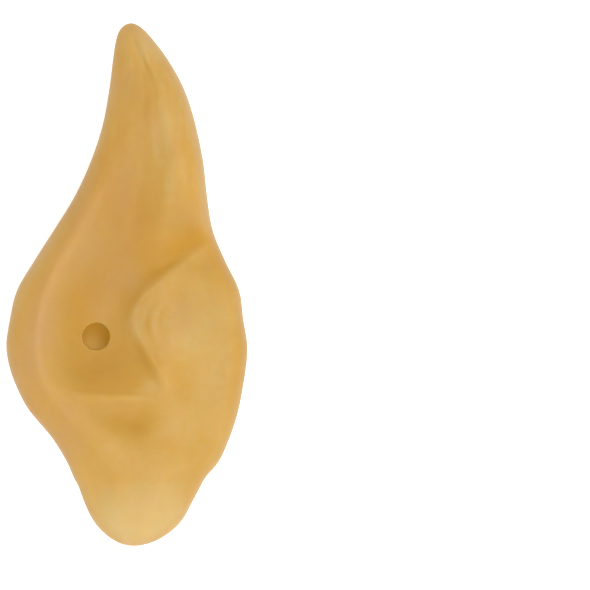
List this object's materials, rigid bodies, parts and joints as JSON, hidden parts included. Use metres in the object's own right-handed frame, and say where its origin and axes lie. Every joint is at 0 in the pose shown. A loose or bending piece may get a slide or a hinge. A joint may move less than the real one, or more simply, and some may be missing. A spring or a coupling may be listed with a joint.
{
  "type": "elf ear tip",
  "caption": "Hollow latex ear cover with a long pointed tip, moulded bowl, cheek flap and lobe, a round hearing hole and an open back that slips over the wearer's ear.",
  "frame": {"origin": "on the plane of the flat rim at the back, at the middle of the part's box in plan", "axes": "+Y from the lobe to the pointed tip, +X to the cheek flap, +Z out through the sculpted front"},
  "size_m": [0.0575, 0.125, 0.0229],
  "materials": {
    "latex": "satin, unpainted amber natural latex"
  },
  "bodies": {
    "root": {"ear_shell": "latex"}
  },
  "joints": []
}
